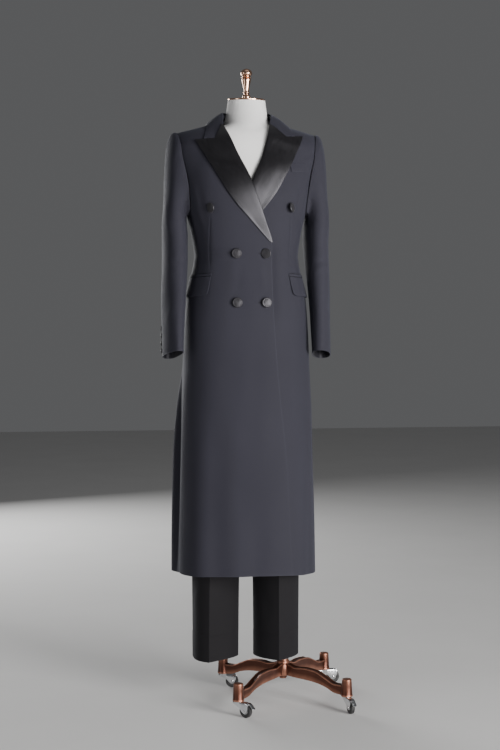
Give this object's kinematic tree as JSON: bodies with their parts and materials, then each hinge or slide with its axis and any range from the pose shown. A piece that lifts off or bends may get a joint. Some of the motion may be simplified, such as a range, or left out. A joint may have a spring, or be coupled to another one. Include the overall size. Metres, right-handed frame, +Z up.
{
  "type": "tuxedo and dress form",
  "caption": "Long double-breasted grey tuxedo coat with satin lapels and black trousers, on a limbless dress form with a castor base.",
  "frame": {"origin": "middle of the footprint, on the floor that the castor wheels stand on", "axes": "+Z up, the coat's front faces -Y, +X is the wearer's left"},
  "size_m": [0.535, 0.4104, 1.7826],
  "materials": {
    "grey_wool": "matte",
    "black_wool": "matte",
    "satin": "satin",
    "white_linen": "matte",
    "copper": "satin",
    "rose_gold": "polished",
    "chrome": "polished",
    "rubber": "matte"
  },
  "bodies": {
    "dressed_form": {"breast_welt": "grey_wool", "button_1_left": "satin", "button_1_right": "satin", "button_2_left": "satin", "button_2_right": "satin", "button_3_left": "satin", "button_3_right": "satin", "coat_back_left": "grey_wool", "coat_back_right": "grey_wool", "coat_front_left": "grey_wool", "coat_front_right": "grey_wool", "coat_side_left": "grey_wool", "coat_side_right": "grey_wool", "collar": "grey_wool", "collar_stand": "grey_wool", "cuff_button_left_1": "satin", "cuff_button_left_2": "satin", "cuff_button_left_3": "satin", "cuff_button_left_4": "satin", "cuff_button_right_1": "satin", "cuff_button_right_2": "satin", "cuff_button_right_3": "satin", "cuff_button_right_4": "satin", "dress_form": "white_linen", "finial": "rose_gold", "lapel_left": "satin", "lapel_right": "satin", "neck_plate": "copper", "pocket_flap_left": "grey_wool", "pocket_flap_right": "grey_wool", "pocket_jet_left": "grey_wool", "pocket_jet_right": "grey_wool", "pole": "chrome", "sleeve_top_left": "grey_wool", "sleeve_top_right": "grey_wool", "sleeve_under_left": "grey_wool", "sleeve_under_right": "grey_wool", "stand_base": "copper", "trouser_back_left": "black_wool", "trouser_back_right": "black_wool", "trouser_front_left": "black_wool", "trouser_front_right": "black_wool", "waistband": "black_wool"},
    "castor_front_left": {"castor_fork_front_left": "chrome"},
    "wheel_front_left": {"castor_wheel_front_left": "rubber"},
    "pedal_front_left": {"castor_pedal_front_left": "chrome"},
    "castor_front_right": {"castor_fork_front_right": "chrome"},
    "wheel_front_right": {"castor_wheel_front_right": "rubber"},
    "pedal_front_right": {"castor_pedal_front_right": "chrome"},
    "castor_back_right": {"castor_fork_back_right": "chrome"},
    "wheel_back_right": {"castor_wheel_back_right": "rubber"},
    "castor_back_left": {"castor_fork_back_left": "chrome"},
    "wheel_back_left": {"castor_wheel_back_left": "rubber"}
  },
  "joints": [
    {"name": "swivel_front_left", "type": "hinge", "parent": "dressed_form", "child": "castor_front_left", "pos_m": [-0.07151, -0.15532, 0.041], "axis": [0, 0, 1], "continuous": true},
    {"name": "roll_front_left", "type": "hinge", "parent": "castor_front_left", "child": "wheel_front_left", "pos_m": [-0.05345, -0.17403, 0.0185], "axis": [0.7193, 0.6947, 0], "continuous": true},
    {"name": "brake_front_left", "type": "hinge", "parent": "castor_front_left", "child": "pedal_front_left", "pos_m": [-0.04789, -0.17978, 0.0402], "axis": [0.7193, 0.6947, 0], "range_deg": [0, 10]},
    {"name": "swivel_front_right", "type": "hinge", "parent": "dressed_form", "child": "castor_front_right", "pos_m": [0.22826, -0.15009, 0.041], "axis": [0, 0, 1], "continuous": true},
    {"name": "roll_front_right", "type": "hinge", "parent": "castor_front_right", "child": "wheel_front_right", "pos_m": [0.23366, -0.17552, 0.0185], "axis": [0.9781, 0.2079, 0], "continuous": true},
    {"name": "brake_front_right", "type": "hinge", "parent": "castor_front_right", "child": "pedal_front_right", "pos_m": [0.23533, -0.18335, 0.0402], "axis": [0.9781, 0.2079, 0], "range_deg": [0, 10]},
    {"name": "swivel_back_right", "type": "hinge", "parent": "dressed_form", "child": "castor_back_right", "pos_m": [0.22303, 0.14968, 0.041], "axis": [0, 0, 1], "continuous": true},
    {"name": "roll_back_right", "type": "hinge", "parent": "castor_back_right", "child": "wheel_back_right", "pos_m": [0.24903, 0.14968, 0.0185], "axis": [0, 1, 0], "continuous": true},
    {"name": "swivel_back_left", "type": "hinge", "parent": "dressed_form", "child": "castor_back_left", "pos_m": [-0.07674, 0.14444, 0.041], "axis": [0, 0, 1], "continuous": true},
    {"name": "roll_back_left", "type": "hinge", "parent": "castor_back_left", "child": "wheel_back_left", "pos_m": [-0.05099, 0.14083, 0.0185], "axis": [0.1392, 0.9903, 0], "continuous": true}
  ]
}
